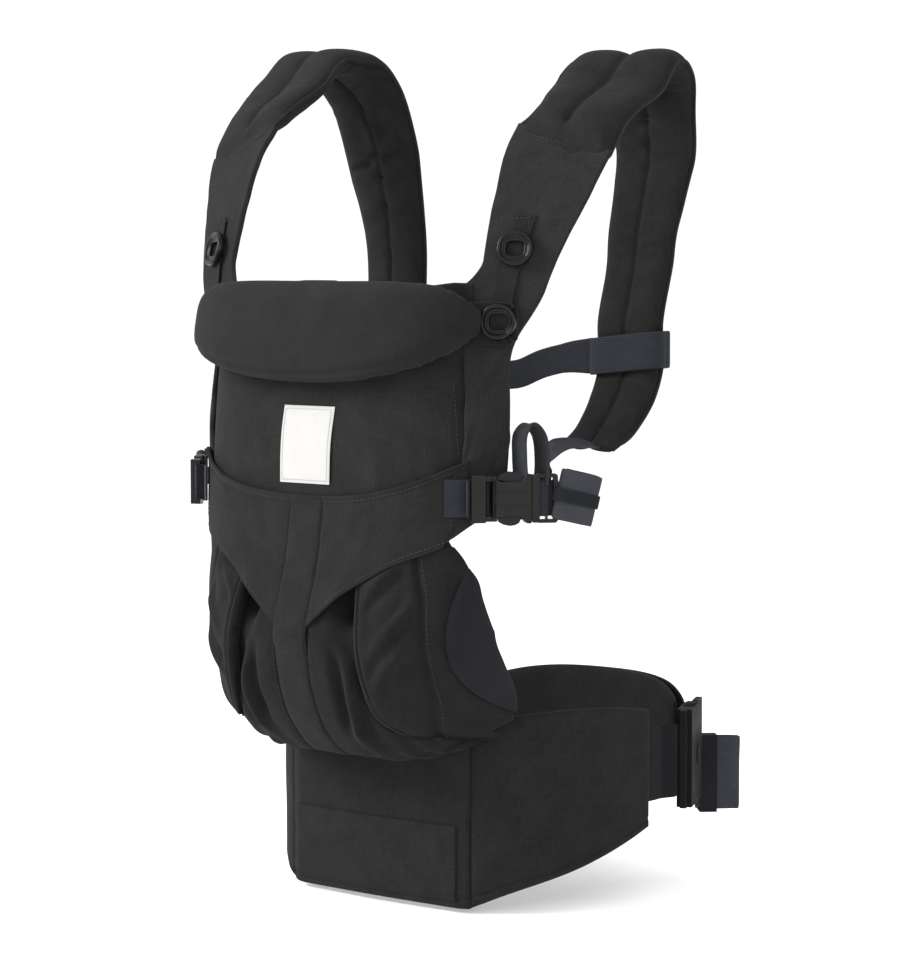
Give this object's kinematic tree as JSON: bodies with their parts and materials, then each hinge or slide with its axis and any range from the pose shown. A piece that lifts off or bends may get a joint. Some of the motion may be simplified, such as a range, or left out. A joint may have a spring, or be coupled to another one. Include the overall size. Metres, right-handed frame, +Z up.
{
  "type": "soft baby carrier",
  "caption": "Structured soft baby carrier with padded waist belt, seat pouch, fold-over head support, padded shoulder straps, sliding cross strap and side-release buckles",
  "frame": {"origin": "centre of the waist ring, at the middle height of the 50 mm waist webbing; the wearer who holds it up stands there", "axes": "+Z up along the wearer, -Y forward to the body panel, +X to the wearer's left"},
  "size_m": [0.3678, 0.351, 0.5747],
  "materials": {
    "canvas": "soft cotton canvas, slightly slubby, matt",
    "pillow_cloth": "smooth brushed cotton, matt",
    "leg_cloth": "smooth knitted cotton, matt",
    "webbing": "woven ribbed webbing",
    "buckle_plastic": "moulded acetal, satin gloss",
    "button_plastic": "moulded plastic, gloss",
    "elastic": "knitted elastic",
    "label_cloth": "woven satin label, plain"
  },
  "bodies": {
    "root": {"front_panel": "canvas", "v_panel": "canvas", "seat_pouch": "canvas", "thigh_gusset_L": "canvas", "thigh_gusset_R": "canvas", "leg_pad_L": "leg_cloth", "leg_pad_R": "leg_cloth", "label": "label_cloth", "strap_base_L": "canvas", "strap_base_R": "canvas", "shoulder_pad_L": "canvas", "shoulder_pad_R": "canvas", "head_button_upper_L": "button_plastic", "head_button_lower_L": "button_plastic", "head_button_upper_R": "button_plastic", "head_button_lower_R": "button_plastic", "button_webbing_L": "webbing", "button_webbing_R": "webbing", "side_female_L": "buckle_plastic", "buckle_tab_L": "webbing", "side_female_R": "buckle_plastic", "buckle_tab_R": "webbing", "strap_webbing_L": "webbing", "strap_webbing_R": "webbing", "belt_front": "canvas", "belt_adjust_patch": "canvas", "belt_wing_L": "canvas", "belt_wing_R": "canvas", "waist_female": "buckle_plastic", "waist_webbing_L": "webbing", "waist_webbing_R": "webbing"},
    "head": {"head_support": "pillow_cloth", "head_tab_L": "pillow_cloth", "head_tab_R": "pillow_cloth"},
    "cross_strap": {"cross_sleeve_L": "canvas", "cross_sleeve_R": "canvas", "cross_webbing_L": "webbing", "cross_webbing_R": "webbing", "cross_female": "buckle_plastic"},
    "cross_plug": {"cross_male": "buckle_plastic"},
    "cross_prong_top": {"cross_prong_top": "buckle_plastic"},
    "cross_prong_low": {"cross_prong_low": "buckle_plastic"},
    "waist_plug": {"waist_male": "buckle_plastic", "waist_tail": "webbing", "waist_keeper": "elastic"},
    "waist_prong_top": {"waist_prong_top": "buckle_plastic"},
    "waist_prong_low": {"waist_prong_low": "buckle_plastic"},
    "waist_safety": {"waist_safety_button": "buckle_plastic"},
    "lumbar": {"lumbar_pad": "canvas"},
    "side_plug_L": {"side_male_L": "buckle_plastic", "webbing_tail_L": "webbing", "tail_keeper_L": "elastic"},
    "side_prong_top_L": {"side_prong_top_L": "buckle_plastic"},
    "side_prong_low_L": {"side_prong_low_L": "buckle_plastic"},
    "side_plug_R": {"side_male_R": "buckle_plastic", "webbing_tail_R": "webbing", "tail_keeper_R": "elastic"},
    "side_prong_top_R": {"side_prong_top_R": "buckle_plastic"},
    "side_prong_low_R": {"side_prong_low_R": "buckle_plastic"}
  },
  "joints": [
    {"name": "head_fold", "type": "hinge", "parent": "root", "child": "head", "pos_m": [0, -0.182, 0.327], "axis": [-1, 0, 0], "range_deg": [0, 150], "deforming": ["head_tab_L", "head_tab_R"]},
    {"name": "side_release_L", "type": "slide", "parent": "root", "child": "side_plug_L", "axis": [0.6428, 0.766, 0], "range_m": [0, 0.026], "deforming": ["strap_webbing_L", "side_prong_top_L", "side_prong_low_L"]},
    {"name": "side_prong_top_L", "type": "hinge", "parent": "side_plug_L", "child": "side_prong_top_L", "pos_m": [0.14592, -0.13919, 0.2007], "axis": [0.766, -0.6428, 0], "range_deg": [0, 14], "stiffness_Nm_per_rad": 0.03},
    {"name": "side_prong_low_L", "type": "hinge", "parent": "side_plug_L", "child": "side_prong_low_L", "pos_m": [0.14592, -0.13919, 0.1773], "axis": [-0.766, 0.6428, 0], "range_deg": [0, 14], "stiffness_Nm_per_rad": 0.03},
    {"name": "side_release_R", "type": "slide", "parent": "root", "child": "side_plug_R", "axis": [-0.6428, 0.766, 0], "range_m": [0, 0.026], "deforming": ["strap_webbing_R", "side_prong_top_R", "side_prong_low_R"]},
    {"name": "side_prong_top_R", "type": "hinge", "parent": "side_plug_R", "child": "side_prong_top_R", "pos_m": [-0.14592, -0.13919, 0.2007], "axis": [0.766, 0.6428, 0], "range_deg": [0, 14], "stiffness_Nm_per_rad": 0.03},
    {"name": "side_prong_low_R", "type": "hinge", "parent": "side_plug_R", "child": "side_prong_low_R", "pos_m": [-0.14592, -0.13919, 0.1773], "axis": [-0.766, -0.6428, 0], "range_deg": [0, 14], "stiffness_Nm_per_rad": 0.03},
    {"name": "cross_height", "type": "slide", "parent": "root", "child": "cross_strap", "axis": [0, 0, 1], "range_m": [-0.012, 0.05]},
    {"name": "cross_release", "type": "slide", "parent": "cross_strap", "child": "cross_plug", "axis": [1, 0, 0], "range_m": [0, 0.026], "deforming": ["cross_webbing_L", "cross_prong_top", "cross_prong_low"]},
    {"name": "cross_prong_top", "type": "hinge", "parent": "cross_plug", "child": "cross_prong_top", "pos_m": [-0.0319, 0.026, 0.2671], "axis": [0, -1, 0], "range_deg": [0, 14], "stiffness_Nm_per_rad": 0.03},
    {"name": "cross_prong_low", "type": "hinge", "parent": "cross_plug", "child": "cross_prong_low", "pos_m": [-0.0319, 0.026, 0.2509], "axis": [0, 1, 0], "range_deg": [0, 14], "stiffness_Nm_per_rad": 0.03},
    {"name": "waist_release", "type": "slide", "parent": "root", "child": "waist_plug", "axis": [-0.454, 0.891, 0], "range_m": [0, 0.032], "deforming": ["waist_webbing_R", "waist_prong_top", "waist_prong_low"]},
    {"name": "waist_prong_top", "type": "hinge", "parent": "waist_plug", "child": "waist_prong_top", "pos_m": [0.12237, 0.07481, 0.0297], "axis": [0.891, 0.454, 0], "range_deg": [0, 11.5], "stiffness_Nm_per_rad": 0.06},
    {"name": "waist_prong_low", "type": "hinge", "parent": "waist_plug", "child": "waist_prong_low", "pos_m": [0.12237, 0.07481, -0.0297], "axis": [-0.891, -0.454, 0], "range_deg": [0, 11.5], "stiffness_Nm_per_rad": 0.06},
    {"name": "waist_safety", "type": "slide", "parent": "root", "child": "waist_safety", "axis": [-0.891, -0.454, 0], "range_m": [0, 0.0012], "stiffness_N_per_m": 300},
    {"name": "lumbar_slide", "type": "hinge", "parent": "root", "child": "lumbar", "pos_m": [0, 0, 0], "axis": [0, 0, 1], "range_deg": [-4, 8]}
  ],
  "couplings": [
    {"joint": "side_prong_low_L", "follows": "side_prong_top_L", "ratio": 1},
    {"joint": "side_prong_low_R", "follows": "side_prong_top_R", "ratio": 1},
    {"joint": "cross_prong_low", "follows": "cross_prong_top", "ratio": 1},
    {"joint": "waist_prong_low", "follows": "waist_prong_top", "ratio": 1}
  ]
}
